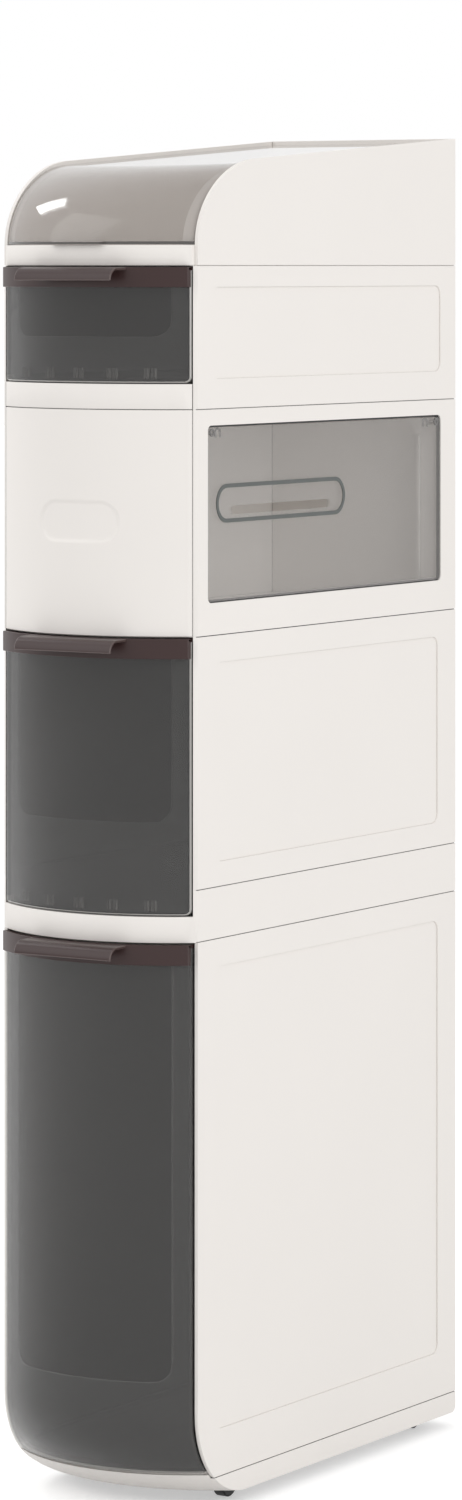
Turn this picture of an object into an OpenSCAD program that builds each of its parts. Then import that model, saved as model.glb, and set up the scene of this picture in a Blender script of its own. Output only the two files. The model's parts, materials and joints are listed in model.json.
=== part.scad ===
// Slim bathroom storage tower on hidden casters. From the floor up it stacks a large
// pull-out drawer, a medium drawer, a tissue bay with a flip-up side door, a small drawer
// and a top bay under a smoked dome lid. The whole front bows out in plan, and the foot
// of the front rolls back under the large drawer.
// X runs across the width, -Y is the front, and Z = 0 is the floor under the wheels.

/* [Body] */
// Overall width across the side panels
body_w = 162; // [156:1:170]
// Depth of the side panels, from the front corner to the back
side_depth = 353; // [330:1:370]
// How far the middle of the front stands out past its corners
bow = 29.5; // [26:0.5:32]
// Thickness of the white outer walls
wall = 2.6; // [2.4:0.1:2.8]
// Radius of the rolled foot of the front
foot_r = 62; // [56:1:66]

/* [Heights] */
// Height of the skirt's lower edge over the floor
skirt_lift = 10; // [9:0.5:11]
// Height of the base skirt
base_h = 15; // [15:0.5:17]
// Height of the large drawer's side panels
large_h = 372; // [340:1:390]
// Height of the band between the two lower drawers, at the sides
divider_h = 35.8; // [34:0.2:38]
// Height of the medium drawer's side panels
medium_h = 173.9; // [160:0.1:190]
// Height of the tissue bay
tissue_h = 156.3; // [150:0.1:165]
// Height of the small drawer's side panels
small_h = 99; // [92:1:110]
// Height of the front rail under the lid
rail_h = 14.5; // [13:0.5:16]

/* [Crown] */
// Length of the dome's quarter ellipse, front to back
dome_len = 74; // [66:1:84]
// Height of the dome over the front rail
dome_h = 55.3; // [50:0.1:60]
// Rise of the crown towards the back, per unit of depth
crown_slope = 0.0703; // [0.06:0.0001:0.08]
// Thickness of the smoked sheet of the lid, door and drawer fronts
sheet = 2.2; // [2:0.1:2.4]

/* [Drawers] */
// Height of the brown trim bar over each drawer front
trim_h = 14; // [13:0.5:15]
// How far the trim bar stands proud of the drawer front
trim_proud = 2.4; // [2:0.1:3]
// Width of the curled grip lip
lip_w = 80; // [70:1:90]
// Reach of the grip lip past the front's crest
lip_reach = 18; // [16:0.5:20]
// Height of the solid lower front wall inside the large and medium drawers
tub_sill = 64; // [50:1:75]
// Height of the white strip under the small and medium drawers
strip_h = 17.8; // [17:0.1:19]

/* [Tissue bay] */
// Distance from the front corner to the window in the right side
window_front = 12.8; // [12:0.1:16]
// Distance from the window to the back edge
window_back = 21.7; // [19:0.1:30]
// Height of the wall under the window
window_sill = 22.7; // [21:0.1:26]
// Height of the wall over the window
window_head = 11.1; // [10:0.1:13]
// Length of the raised pill-shaped ring round the tissue slot
ring_len = 171; // [150:1:180]
// Height of the ring
ring_h = 27; // [24:0.5:30]
// Length of the tissue slot
slot_len = 131; // [120:1:134]
// Height of the tissue slot
slot_h = 6; // [5:0.5:8]

/* [Casters] */
// Radius of a caster wheel
wheel_r = 10; // [9.5:0.1:10]
// Width of a caster wheel
wheel_w = 9; // [8:0.5:10]
// Trail of the wheel behind the swivel
trail = 6; // [5:0.5:7]

/* [Hidden] */
$fn = 96;
hw = body_w / 2;
bow_r = (hw * hw + bow * bow) / (2 * bow);
inner_hw = hw - wall;
front_reach = bow + lip_reach;
corner_y = -(side_depth - front_reach) / 2;
crest_y = corner_y - bow;
rear_y = corner_y + side_depth;
arc_y = crest_y + bow_r;
far = 2 * side_depth;

// Levels of the seams over the floor
base_z = skirt_lift + base_h;
divider_z = base_z + large_h;
medium_z = divider_z + divider_h;
tissue_z = medium_z + medium_h;
upper_z = tissue_z + tissue_h;
crown_z = upper_z + small_h;
foot_z = skirt_lift + foot_r;

// Decks, rims and panels
deck = 2.6;
rim = 2.4;
rim_gap = 0.1;
rim_up = 5;
rim_hw = inner_hw - rim_gap;
back_t = 2.4;
seam_gap = 0.7;
skirt_r = 5;
rib_h = 4.5;
rib_t = 1.6;
rib_edge = 34;
post_t = 1.8;
post_in = 19;
seam_line = 0.6;
seam_deep = 1.2;
panel_recess = 1;
panel_r = 7;
panel_front = 23;
panel_back = 26;

base_deck_z = base_z + 2.2;
divider_deck_z = divider_z + strip_h - deck;
upper_deck_z = upper_z + strip_h - deck;
tissue_deck_z = tissue_z + 0.3;
top_deck_z = crown_z + 3.5;

// Drawers
front_gap = 1;
trim_gap = 0.05;
front_hw = inner_hw - front_gap;
tub_wall = 2;
tub_gap = 0.8;
tub_hw = rim_hw - rim - tub_gap;
tub_inset = 4.4;
tub_rear = rear_y - back_t - 6;
slide_gap = 0.3;
return_len = 8;
cap_t = 2.4;
cap_in = 8;
post_w = 11;
post_r = 12;
tub_drop = 7;
flange_w = 1.8;
flange_t = 2;
flange_start = 22;
front_r = 4;
hook_z = 3;
hook_h = 7;
hook_w = 2.4;
hook_pitch = 26;
hook_deep = 1.8;

large_front_z = base_z + 4.6;
medium_front_z = divider_z + strip_h + 1;
small_front_z = upper_z + strip_h + 0.8;
large_top = divider_z - 1.3;
medium_top = tissue_z - seam_gap;
small_top = crown_z - seam_gap;

// Crown and lid
lid_drop = 2.5;
lid_side_gap = 0.6;
lid_hw = inner_hw - lid_side_gap;
lid_lift = 0.5;
ledge_w = 8;
ledge_gap = 0.3;
ledge_t = 2.4;
pivot_back = side_depth - 10;
pivot_drop = 3.2;
pivot_z = crown_z + rail_h + dome_h - lid_drop - pivot_drop + crown_slope * pivot_back;
pivot_r = 1.8;
bead_r = 2.4;
run_gap = 0.05;
tab_w = 41;
tab_reach = 6;
tab_t = 1.6;
tab_step = 0.5;

// Tissue door
window_len = side_depth - window_front - window_back;
window_h = tissue_h - window_sill - window_head;
window_z = tissue_z + window_sill;
window_r = 4;
door_gap = 0.8;
door_top_gap = 1.5;
door_in = 0.6;
hinge_x = hw - 2.8;
hinge_z = window_z + window_h - 5;
hinge_pin_r = 1.4;
barrel_r = 2.2;
barrel_len = 12;
ring_stroke = 2.8;
ring_t = 0.5;
ring_back = 109.5;
ring_mid_z = window_z + 68.2;
slot_mid_z = ring_mid_z - 5;

// Casters
caster_inset = 24;
caster_x = hw - caster_inset;
caster_front = 66;
caster_rear = side_depth - 32;
crown_gap = 0.8;
fork_plate_z = 2 * wheel_r + crown_gap;
fork_plate_t = 2.2;
fork_plate_r = 8.5;
fork_arm_t = 2;
fork_arm_gap = 0.4;
stem_r = 3;
stem_top = base_deck_z + deck - 0.7;
socket_r = 6;
axle_r = 1.5;

white = [0.93, 0.92, 0.9];
smoke = [0.3, 0.29, 0.28, 0.55];
clear_smoke = [0.7, 0.69, 0.68, 0.4];
brown = [0.29, 0.22, 0.21];
black = [0.12, 0.12, 0.12];
steel = [0.7, 0.7, 0.72];
ring_grey = [0.45, 0.46, 0.45];

// ---- Plan shapes, drawn in X and Y ----

// Outline of the tower in plan, its bowed front at radius bow_r less the inset
module plan(half_w, inset = 0, back = rear_y) {
    intersection() {
        translate([-half_w, crest_y - far / 2]) square([2 * half_w, back - crest_y + far / 2]);
        union() {
            translate([0, arc_y]) circle(r = bow_r - inset, $fn = 200);
            translate([-half_w, arc_y]) square([2 * half_w, far]);
        }
    }
}

// A band of the bowed front, from one inset to a deeper one
module front_band(half_w, outer_inset, inner_inset) {
    intersection() {
        translate([-half_w, crest_y - far / 2]) square([2 * half_w, far / 2 + 2 * bow]);
        difference() {
            translate([0, arc_y]) circle(r = bow_r - outer_inset, $fn = 200);
            translate([0, arc_y]) circle(r = bow_r - inner_inset, $fn = 200);
        }
    }
}

module slab(z, h) {
    translate([0, 0, z]) linear_extrude(h) children();
}

// ---- Side shapes, drawn in depth behind the front corner and height ----

// Sweeps a side shape across X from x0 to x1
module across(x0, x1) {
    translate([x0, corner_y, 0]) rotate([90, 0, 90]) linear_extrude(x1 - x0) children();
}

module round_rect(d, h, r) {
    translate([r, 0]) square([d - 2 * r, h]);
    translate([0, r]) square([d, h - 2 * r]);
    for (a = [r, d - r], b = [r, h - r]) translate([a, b]) circle(r = r, $fn = 48);
}

// Outline of the side with its rolled foot, from z0 to z1
module foot_side(z0, z1) {
    translate([foot_r, z0]) square([side_depth - foot_r, z1 - z0]);
    if (z1 > foot_z) translate([0, foot_z]) square([foot_r + 1, z1 - foot_z]);
    intersection() {
        translate([foot_r, foot_z]) circle(r = foot_r, $fn = 160);
        translate([0, z0]) square([foot_r + 1, min(z1, foot_z) - z0]);
    }
}

// ---- Bowed sweeps: a side shape carried across the width along the bow ----

function bow_at(x) = bow - bow_r + sqrt(bow_r * bow_r - x * x);

// Each point is [depth, height, follow, rise]: follow = 1 moves with the bow and 0 stays,
// and rise tilts the height with the point's real depth. The list runs down one flank of the
// shape and back up the other, so the ends close as strips between the two.
module bowed(points, x0, x1, steps = 14) {
    bowed_at(points, [for (i = [0:steps]) x0 + (x1 - x0) * i / steps]);
}

// Stations spread evenly over the middle
function middle_xs(half, n) = [for (i = [0:n]) half * (2 * i / n - 1)];
// The same at given stations, with another shape of as many points within half of the middle
module bowed_at(points, xs, middle = [], half = -1) {
    m = len(points);
    last = len(xs) - 1;
    verts = [for (x = xs, p = abs(x) < half + 0.01 ? middle : points)
        let (depth = p[0] - p[2] * bow_at(x), rise = len(p) > 3 ? p[3] : 0)
        [x, corner_y + depth, p[1] + rise * depth]];
    skin = [for (i = [0:last - 1], j = [0:m - 1], half_face = [0, 1])
        let (a = i * m + j, b = i * m + (j + 1) % m)
        half_face == 0 ? [a, a + m, b + m] : [a, b + m, b]];
    near_cap = [for (j = [0:m / 2 - 2]) [j + 1, m - 2 - j, m - 1 - j, j]];
    far_cap = [for (quad = near_cap) [for (i = [0, 3, 2, 1]) last * m + quad[i]]];
    polyhedron(verts, concat(near_cap, far_cap, skin), convexity = 6);
}

// A point on the rolled foot at the angle phi below level, inset from its surface
function foot_point(phi, inset) = [
    foot_r - (foot_r - inset) * cos(phi),
    foot_z - (foot_r - inset) * sin(phi),
    1
];
// Angle at which the inset foot surface comes down to the height z
function foot_angle(z, inset = 0) = asin((foot_z - z) / (foot_r - inset));
function foot_arc(inset, from, to, n) = [for (i = [0:n]) foot_point(from + (to - from) * i / n, inset)];
// Closed shape of a sheet along the foot, cut level at the height z and ending at the angle to
function foot_sheet(z, to, t, n) =
    concat(foot_arc(0, foot_angle(z), to, n), flip(foot_arc(t, foot_angle(z, t), to, n)));
function flip(list) = [for (i = [len(list) - 1:-1:0]) list[i]];

// The crown at the ellipse angle t: its depth, and its height over the floor less the rise
function crown_point(t, inset) = [
    inset + (dome_len - inset) * (1 - cos(t)),
    crown_z + rail_h + (dome_h - inset) * sin(t),
    1,
    crown_slope * sin(t)
];
function crown_end(s, inset) = [s, crown_z + rail_h + dome_h - inset, 0, crown_slope];
function crown_curve(inset, back, n = 12) =
    concat([for (i = [0:n]) crown_point(90 * i / n, inset)], [crown_end(back, inset)]);
function crown_height(s, inset) = crown_end(s, inset)[1] + crown_slope * s;

// ---- White walls ----

// One side panel in plan, as a band along the right side
module side_band() {
    intersection() {
        plan(hw);
        translate([inner_hw, crest_y]) square([wall, far]);
    }
}

module side_panel(z0, h, recess) {
    difference() {
        slab(z0, h) side_band();
        side_recess(recess);
        side_seam(z0);
    }
}

// Shadow line along the lower edge of a panel on the right side
module side_seam(z0) {
    slab(z0 - 1, 1 + seam_line)
        translate([hw - seam_deep, crest_y]) square([seam_deep + 1, far]);
}

// A front panel between the side walls, with a shadow line along its foot and down each end
module front_panel(z0, h) {
    slab(z0, h) front_band(inner_hw, seam_deep, wall);
    slab(z0 + seam_line, h - seam_line)
        front_band(inner_hw - seam_line, 0, seam_deep + 0.1);
}

// Shallow rounded recess on the outer face: [front margin, back margin, lower z, upper z]
module side_recess(r) {
    across(hw - panel_recess, hw + 1) translate([r[0], r[2]])
        round_rect(side_depth - r[0] - r[1], r[3] - r[2], panel_r);
}

// Back panel with a shadow line all round its outer face
module back_panel(z0, h) {
    slab(z0, h) translate([-inner_hw, rear_y - back_t])
        square([2 * inner_hw, back_t - seam_deep]);
    slab(z0 + seam_line, h - seam_line)
        translate([-inner_hw + seam_line, rear_y - seam_deep - 0.1])
            square([2 * (inner_hw - seam_line), seam_deep + 0.1]);
}

module lower_side(right) {
    color(white) mirror([right ? 0 : 1, 0, 0]) intersection() {
        side_panel(base_z, large_h, [panel_front, panel_back, base_z + 33, divider_z - 19]);
        across(-hw, hw) foot_side(base_z, divider_z);
    }
}

module middle_side(right) {
    color(white) mirror([right ? 0 : 1, 0, 0])
        side_panel(medium_z, medium_h,
            [panel_front, panel_back, medium_z + 17.4, tissue_z - 18.6]);
}

module upper_side(right) {
    color(white) mirror([right ? 0 : 1, 0, 0])
        side_panel(upper_z, small_h,
            [panel_front - 4, panel_back - 4, upper_z + 21, crown_z - 14.5]);
}

module lower_back() { color(white) back_panel(base_deck_z + deck, divider_z - base_deck_z - deck); }
module middle_back() { color(white) back_panel(medium_z, medium_h); }
module tissue_back() { color(white) back_panel(tissue_z, tissue_h); }
module upper_back() { color(white) back_panel(upper_z, small_h); }

// A rim inside both side walls and the back, from z0 to z1, starting behind the fronts
module rims(z0, z1, setback = 2) {
    slab(z0, z1 - z0) difference() {
        plan(rim_hw, wall + return_len + setback, rear_y - back_t - rim_gap);
        plan(rim_hw - rim, 0, rear_y - back_t - rim_gap - rim);
    }
}

// ---- Base ----

module base_tray() {
    lip_z = large_front_z - 1.8;
    lip_hw = rim_hw - 0.4;
    skirt_from = foot_angle(base_z);
    color(white) difference() {
        union() {
            // Side skirts, which carry the lower side panels
            for (side = [0, 1]) mirror([side, 0, 0]) intersection() {
                slab(skirt_lift, base_h) side_band();
                across(-hw, hw) foot_side(skirt_lift, base_z);
            }
            // Rolled front lip, whose middle rises to meet the large drawer
            bowed_at(foot_sheet(base_z, 90, wall, 8),
                concat([-hw + 0.4, -rim_hw], middle_xs(lip_hw, 12), [rim_hw, hw - 0.4]),
                foot_sheet(lip_z, 90, wall, 8), lip_hw);
            // Rear skirt
            slab(skirt_lift, base_deck_z + deck - skirt_lift)
                translate([-inner_hw, rear_y - back_t]) square([2 * inner_hw, back_t]);
            // Deck with its rims, cut back to the foot's curve
            intersection() {
                union() {
                    slab(base_deck_z, deck) plan(rim_hw, 0, rear_y - back_t + 0.1);
                    rims(base_z - 5, base_deck_z + deck + rim_up, 12);
                    for (side = [-1, 1]) slab(skirt_lift + 3, base_deck_z - skirt_lift - 2)
                        translate([side > 0 ? rim_hw - rim : -rim_hw - rim_gap, corner_y + foot_r])
                            square([rim + rim_gap, side_depth - foot_r - back_t]);
                }
                bowed([[foot_r - (foot_r - wall) * cos(skirt_from), base_z - 5.01, 1],
                    [side_depth, skirt_lift, 0], [side_depth, foot_z, 0], [wall + 15, foot_z, 1]],
                    -rim_hw - rim_gap, rim_hw + rim_gap);
            }
            for (x = [-caster_x, caster_x], s = [caster_front, caster_rear])
                translate([x, corner_y + s, fork_plate_z + fork_plate_t + 0.3])
                    cylinder(r = socket_r, h = base_deck_z + 1 - fork_plate_z - fork_plate_t - 0.3);
        }
        for (x = [-caster_x, caster_x], s = [caster_front, caster_rear])
            translate([x, corner_y + s, skirt_lift])
                cylinder(r = stem_r + run_gap, h = stem_top + 0.2 - skirt_lift);
        // Rounded lower rear edge
        across(-hw - 1, hw + 1) translate([side_depth - skirt_r, skirt_lift + skirt_r])
            difference() {
                translate([0, -skirt_r - 1]) square(skirt_r + 1);
                circle(r = skirt_r, $fn = 48);
            }
    }
}

// ---- Casters ----

module at_caster(x, s) { translate([x, corner_y + s, 0]) children(); }

module caster_fork(x, s) {
    arm_x = wheel_w / 2 + fork_arm_gap;
    color(black) at_caster(x, s) difference() {
        union() {
            translate([0, 0, fork_plate_z]) cylinder(r = fork_plate_r, h = fork_plate_t);
            translate([0, 0, fork_plate_z]) cylinder(r = stem_r, h = stem_top - fork_plate_z);
            for (side = [0, 1]) mirror([side, 0, 0]) translate([arm_x, 0, 0])
                rotate([90, 0, 90]) linear_extrude(fork_arm_t) {
                    translate([trail, wheel_r]) circle(r = 4);
                    polygon([[-5, fork_plate_z + fork_plate_t], [trail - 3.9, wheel_r],
                        [trail + 3.9, wheel_r], [trail + 2, fork_plate_z + fork_plate_t]]);
                }
        }
        translate([-arm_x - 3, trail, wheel_r]) rotate([0, 90, 0])
            cylinder(r = axle_r, h = 2 * arm_x + 6);
    }
}

module caster_wheel(x, s) {
    color(black) at_caster(x, s) translate([-wheel_w / 2, trail, wheel_r]) rotate([0, 90, 0])
        difference() {
            union() {
                translate([0, 0, 0.8]) cylinder(r = wheel_r, h = wheel_w - 1.6);
                cylinder(r = wheel_r - 0.8, h = wheel_w);
            }
            translate([0, 0, -1]) cylinder(r = axle_r + run_gap, h = wheel_w + 2);
        }
}

module caster_axle(x, s) {
    axle_len = wheel_w + 2 * (fork_arm_gap + fork_arm_t);
    color(steel) at_caster(x, s) translate([-axle_len / 2, trail, wheel_r]) rotate([0, 90, 0])
        cylinder(r = axle_r, h = axle_len);
}

// ---- Drawers ----

// Brown bar with a cap over the front's top edge and a curled grip lip
module drawer_trim(top) {
    curl = lip_reach / 2;
    lip_t = 2;
    color(brown) {
        slab(top - trim_h, trim_h) front_band(front_hw, -trim_proud, -trim_gap);
        slab(top - cap_t, cap_t) front_band(front_hw, -trim_proud + 0.5, cap_in);
        translate([0, -bow, top - 0.3]) across(-lip_w / 2, lip_w / 2) {
            translate([-curl, -lip_t]) square([curl + cap_in, lip_t]);
            intersection() {
                translate([-curl, -curl]) difference() {
                    circle(r = curl);
                    circle(r = curl - lip_t);
                }
                translate([-2 * curl, -curl]) square([curl, curl]);
            }
        }
    }
}

// Smoked bowed front of a straight drawer, with side returns and a row of hooks behind its foot
module flat_front(z, top) {
    h = top - cap_t - z;
    difference() {
        union() {
            slab(z, h) front_band(front_hw, 0, sheet);
            slab(z, h) intersection() {
                front_band(front_hw, sheet - 0.5, sheet + return_len);
                for (side = [0, 1]) mirror([side, 0, 0])
                    translate([tub_hw + 0.2, crest_y]) square([front_hw - tub_hw - 0.2, far]);
            }
            slab(z + hook_z, hook_h) intersection() {
                front_band(front_hw, sheet - 0.5, sheet + hook_deep);
                for (i = [-2:2], side = [-1, 1])
                    translate([i * hook_pitch + side * hook_w - hook_w / 2, crest_y])
                        square([hook_w, far]);
            }
        }
        // Rounded lower corners, as seen from the front
        for (side = [0, 1]) mirror([side, 0, 0])
            translate([front_hw - front_r, corner_y + bow, z + front_r]) rotate([90, 0, 0])
                linear_extrude(3 * bow) polygon(concat(
                    [[0, -front_r - 1], [front_r + 1, -front_r - 1], [front_r + 1, 0]],
                    [for (a = [0:15:90]) front_r * [cos(a), -sin(a)]]));
    }
}

// Stiffening flange along both sides of a tub's upper edge
module tub_flange(top) {
    slab(top - tub_drop - flange_t, flange_t) for (side = [0, 1]) mirror([side, 0, 0])
        translate([tub_hw - 0.5, corner_y + flange_start])
            square([flange_w + 0.5, tub_rear - corner_y - flange_start]);
}

// Open-topped tub with a bowed front wall, whose middle is cut down to the sill
module flat_tub(z, top, sill) {
    h = top - tub_drop - z;
    tub_flange(top);
    difference() {
        slab(z, h) plan(tub_hw, tub_inset, tub_rear);
        slab(z + tub_wall, h) plan(tub_hw - tub_wall, tub_inset + tub_wall, tub_rear - tub_wall);
        tub_mouth(z + sill, h);
    }
}

// Rounded cut-out in a tub's front wall, open at the top
module tub_mouth(z, h) {
    w = tub_hw - post_w;
    translate([0, corner_y + 12, z]) rotate([90, 0, 0]) linear_extrude(2 * bow + 12) {
        translate([-w, post_r]) square([2 * w, h]);
        translate([-w + post_r, 0]) square([2 * (w - post_r), h]);
        for (x = [-w + post_r, w - post_r]) translate([x, post_r]) circle(r = post_r, $fn = 64);
    }
}

function front_profile(z, top, t, n) = let (to = foot_angle(z)) concat(
    [[0, top, 1]], foot_arc(0, 0, to, n), flip(foot_arc(t, 0, to, n)), [[t, top, 1]]);

module large_drawer_front() {
    top = large_top - cap_t;
    flank = tub_hw + 0.2;
    color(smoke) bowed_at(front_profile(large_front_z, top, sheet + return_len, 8),
        concat([-front_hw, -flank - 0.4], middle_xs(flank, 12), [flank + 0.4, front_hw]),
        front_profile(large_front_z, top, sheet, 8), flank);
}

function tub_profile(z, top, inset, rear) = let (to = foot_angle(z, inset)) concat(
    [[inset, top, 1]], foot_arc(inset, 0, to, 10), [[rear, z, 0], [rear, top, 0]]);

module large_drawer_tub() {
    z = base_deck_z + deck + slide_gap;
    top = large_top - tub_drop;
    rear = tub_rear - corner_y;
    color(smoke) {
        tub_flange(large_top);
        difference() {
            bowed(tub_profile(z, top, tub_inset, rear), -tub_hw, tub_hw);
            bowed(tub_profile(z + tub_wall, top + 1, tub_inset + tub_wall, rear - tub_wall),
                -tub_hw + tub_wall, tub_hw - tub_wall);
            tub_mouth(z + tub_sill, top);
        }
    }
}

module large_drawer_trim() { drawer_trim(large_top); }

module medium_drawer_front() { color(smoke) flat_front(medium_front_z, medium_top); }
module medium_drawer_tub() {
    color(smoke) flat_tub(divider_deck_z + deck + slide_gap, medium_top, tub_sill);
}
module medium_drawer_trim() { drawer_trim(medium_top); }

module small_drawer_front() { color(smoke) flat_front(small_front_z, small_top); }
module small_drawer_tub() {
    color(smoke) flat_tub(upper_deck_z + deck + slide_gap, small_top, tub_sill / 2);
}
module small_drawer_trim() { drawer_trim(small_top); }

// ---- Trays and shelves ----

// The band's full outline in plan, as a ring one wall thick
module wall_ring(half_w = hw) {
    difference() {
        plan(half_w);
        plan(inner_hw, wall, rear_y - back_t);
    }
}

// Cross ribs under a deck whose underside is at the height z
module deck_ribs(z, count) {
    pitch = (side_depth - 2 * rib_edge) / (count - 1);
    slab(z - rib_h, rib_h + 0.1) for (i = [0:count - 1])
        translate([-rim_hw + rim - 0.1, corner_y + rib_edge + i * pitch - rib_t / 2])
            square([2 * (rim_hw - rim + 0.1), rib_t]);
}

module divider_tray() {
    side_from = divider_z + strip_h;
    color(white) {
        slab(divider_z, seam_line) wall_ring(hw - seam_deep);
        slab(divider_z + seam_line, strip_h - seam_line) wall_ring();
        slab(side_from, divider_h - strip_h) difference() {
            wall_ring();
            translate([-inner_hw, crest_y - 1]) square([2 * inner_hw, side_depth / 2]);
        }
        slab(divider_deck_z, deck) plan(inner_hw, wall, rear_y - back_t);
        rims(divider_z - rim_up, divider_deck_z);
        deck_ribs(divider_deck_z, 7);
        rims(divider_deck_z + deck, medium_z + rim_up);
    }
}

module upper_shelf() {
    color(white) {
        front_panel(upper_z, strip_h);
        slab(upper_deck_z, deck) plan(rim_hw, wall - 0.1, rear_y - back_t - rim_gap);
        rims(upper_z + 2, upper_deck_z + deck + rim_up);
        deck_ribs(upper_deck_z, 7);
    }
}

module tissue_shelf() {
    color(white) {
        slab(tissue_deck_z, deck) plan(rim_hw, wall + 0.2, rear_y - back_t - rim_gap);
        rims(tissue_deck_z, tissue_deck_z + deck + rim_up);
    }
}

module top_tray() {
    color(white) {
        front_panel(crown_z, rail_h);
        slab(top_deck_z, deck) plan(rim_hw, wall - 0.1, rear_y - back_t - rim_gap);
        rims(crown_z, top_deck_z + deck + rim_up);
    }
}

// ---- Tissue bay ----

module tissue_side_left() {
    color(white) mirror([1, 0, 0]) difference() {
        slab(tissue_z, tissue_h) side_band();
        side_seam(tissue_z);
    }
}

module window_shape(gap = 0, top_gap = 0) {
    translate([window_front + gap, window_z + gap])
        round_rect(window_len - 2 * gap, window_h - gap - max(gap, top_gap), window_r - gap);
}

module tissue_side_right() {
    boss_h = 9;
    color(white) difference() {
        union() {
            difference() {
                slab(tissue_z, tissue_h) side_band();
                across(inner_hw - 1, hw + 1) window_shape();
                side_seam(tissue_z);
            }
            rear_post();
            // Hinge bosses behind the window's upper corners
            for (s = [window_front - 9.5, window_front + window_len])
                across(inner_hw - 4, inner_hw + 0.1)
                    translate([s, hinge_z - boss_h / 2]) square([9.5, boss_h]);
            // Ledge that the closed door rests against
            across(inner_hw - 2.5, inner_hw - 0.6)
                difference() {
                    translate([window_front - 3, window_z - 3])
                        square([window_len + 6, 5]);
                    translate([window_front, window_z + 2.1]) square([window_len, 20]);
                }
            across(inner_hw - 0.7, inner_hw + 0.1)
                translate([window_front - 3, window_z - 3]) square([window_len + 6, 3]);
        }
        translate([hinge_x, corner_y + window_front - 7, hinge_z]) rotate([-90, 0, 0])
            cylinder(r = hinge_pin_r + run_gap, h = window_len + 14);
    }
}

// Post behind the window's rear edge, with a thick inner lip and a gusset under the hinge
module rear_post() {
    post_s = window_front + window_len + 5.7;
    top = upper_z - rim_up - 3;
    translate([0, corner_y + post_s, 0]) rotate([90, 0, 0]) {
        linear_extrude(post_t) polygon([
            [inner_hw + 0.1, tissue_z + 12], [inner_hw - post_in, tissue_z + 12],
            [inner_hw - post_in, top - post_in], [inner_hw - 1.5 * post_in, top - 8],
            [inner_hw - 1.5 * post_in, top], [inner_hw + 0.1, top]]);
        linear_extrude(2 * post_t) translate([inner_hw - post_in, tissue_z + 12])
            square([post_t, top - post_in - tissue_z - 12]);
    }
}

module tissue_front() {
    pill_l = 68;
    pill_h = 28;
    pill_deep = 1.4;
    pill_z = tissue_z + 79;
    color(white) difference() {
        front_panel(tissue_z, tissue_h);
        intersection() {
            slab(tissue_z, tissue_h) front_band(inner_hw, -1, pill_deep);
            translate([0, corner_y, pill_z]) rotate([90, 0, 0]) linear_extrude(2 * bow) {
                square([pill_l - pill_h, pill_h], center = true);
                for (x = [-1, 1]) translate([x * (pill_l - pill_h) / 2, 0]) circle(r = pill_h / 2);
            }
        }
    }
}

module pill(len, h) {
    square([len - h, h], center = true);
    for (x = [-1, 1]) translate([x * (len - h) / 2, 0]) circle(r = h / 2, $fn = 64);
}

module tissue_door() {
    out = hw - door_in;
    color(clear_smoke) difference() {
        union() {
            difference() {
                across(out - sheet, out) window_shape(door_gap, door_top_gap);
                across(out - sheet - 1, out + 1) translate([ring_back, slot_mid_z])
                    pill(slot_len, slot_h);
            }
            // Barrels at the two upper corners
            for (s = [window_front + door_gap, window_front + window_len - door_gap - barrel_len])
                translate([hinge_x, corner_y + s, hinge_z]) rotate([-90, 0, 0])
                    cylinder(r = barrel_r, h = barrel_len);
        }
        for (s = [window_front - 1, window_front + window_len + 1 - barrel_len])
            translate([hinge_x, corner_y + s, hinge_z]) rotate([-90, 0, 0])
                cylinder(r = hinge_pin_r, h = barrel_len);
    }
}

module slot_ring() {
    out = hw - door_in;
    color(ring_grey) across(out, out + ring_t) translate([ring_back, ring_mid_z]) difference() {
        pill(ring_len, ring_h);
        pill(ring_len - 2 * ring_stroke, ring_h - 2 * ring_stroke);
    }
}

module door_pin(rear) {
    s = rear ? window_front + window_len + 1 - barrel_len : window_front - 6;
    color(clear_smoke) translate([hinge_x, corner_y + s, hinge_z]) rotate([-90, 0, 0])
        cylinder(r = hinge_pin_r, h = barrel_len + 5);
}

// ---- Crown and lid ----

module crown_outline() {
    curve = crown_curve(0, side_depth, 16);
    polygon(concat([[0, crown_z]], [for (p = curve) [p[0], p[1] + p[3] * p[0]]],
        [[side_depth, crown_z]]));
}

module crown_cheek(right) {
    ledge_top = lid_drop + sheet + ledge_gap;
    outer = crown_curve(ledge_top, pivot_back - 6);
    under = crown_curve(ledge_top + ledge_t, pivot_back - 6);
    color(white) mirror([right ? 0 : 1, 0, 0]) difference() {
        union() {
            intersection() {
                slab(crown_z, 2 * dome_h + rail_h) side_band();
                across(-hw, hw) crown_outline();
            }
            bowed(concat(flip(outer), under), inner_hw - ledge_w, inner_hw + 1, 2);
        }
        translate([inner_hw - 1, corner_y + pivot_back, pivot_z]) rotate([0, 90, 0])
            cylinder(r = pivot_r + run_gap, h = 2.6);
        side_seam(crown_z);
    }
}

module crown_back() {
    color(white) back_panel(crown_z, crown_height(side_depth, 0) - crown_z);
}

// The rear edge of the lid rolls round its pivot
lid_bead = [for (a = [200:40:400]) [pivot_back + bead_r * cos(a), pivot_z + bead_r * sin(a), 0, 0]];

// The lid's side shape, its foot standing forward by the tab's reach
function lid_profile(reach) =
    let (
        foot = crown_z + rail_h + lid_lift,
        outer = crown_curve(lid_drop, pivot_back + bead_r / 2, 14),
        inner = crown_curve(lid_drop + sheet, pivot_back - bead_r, 14)
    )
    concat(
        [for (i = [3:5]) lid_bead[i]],
        flip([for (i = [1:len(outer) - 1]) outer[i]]),
        [
            [lid_drop, foot + tab_t + 0.3, 1, 0],
            [lid_drop - reach, foot + tab_t, 1, 0],
            [lid_drop - reach, foot, 1, 0],
            [lid_drop + sheet, foot, 1, 0]
        ],
        [for (i = [1:len(inner) - 1]) inner[i]],
        [for (i = [0:2]) lid_bead[i]]
    );

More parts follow.
